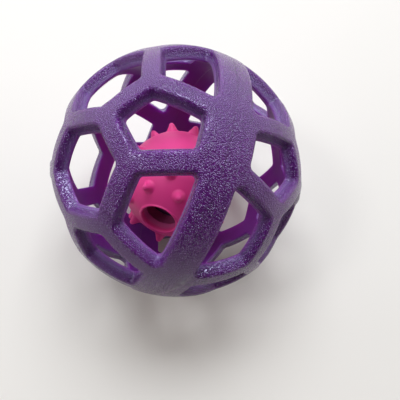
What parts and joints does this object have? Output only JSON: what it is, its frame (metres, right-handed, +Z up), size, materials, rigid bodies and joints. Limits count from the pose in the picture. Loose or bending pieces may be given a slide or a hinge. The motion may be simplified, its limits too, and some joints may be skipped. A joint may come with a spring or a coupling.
{
  "type": "squeaky chew ball",
  "caption": "Open lattice rubber chew ball in two bonded halves with a wide plain band, and a loose nubbed squeaker ball with a round mouth rolling inside.",
  "frame": {"origin": "on the floor under the middle of the ball", "axes": "+Z up; the left half's pole points to -X and a little up; Y runs along the plane where the halves meet, with the squeaker ball's mouth towards -Y"},
  "size_m": [0.0899, 0.09, 0.088],
  "materials": {
    "purple_rubber": "satin with a fine leathery grain outside and down the walls of the holes, smooth inside",
    "pink_vinyl": "smooth matte",
    "dark_plastic": "smooth satin",
    "clear_film": "smooth gloss"
  },
  "bodies": {
    "cage": {"left_cage_half": "purple_rubber", "right_cage_half": "purple_rubber"},
    "inner_ball": {"inner_ball": "pink_vinyl", "squeaker_cup": "dark_plastic", "squeaker_cap": "dark_plastic", "reed_tube": "dark_plastic"},
    "reed": {"reed": "clear_film"}
  },
  "joints": [
    {"name": "inner_ball_roll", "type": "hinge", "parent": "cage", "child": "inner_ball", "pos_m": [0, 0, 0.04352], "axis": [0, 1, 0], "continuous": true},
    {"name": "reed_flutter", "type": "hinge", "parent": "inner_ball", "child": "reed", "pos_m": [-0.00105, -0.00567, 0.03149], "axis": [0.9833, -0.1822, 0], "range_deg": [-2, 8], "stiffness_Nm_per_rad": 0.00002}
  ]
}
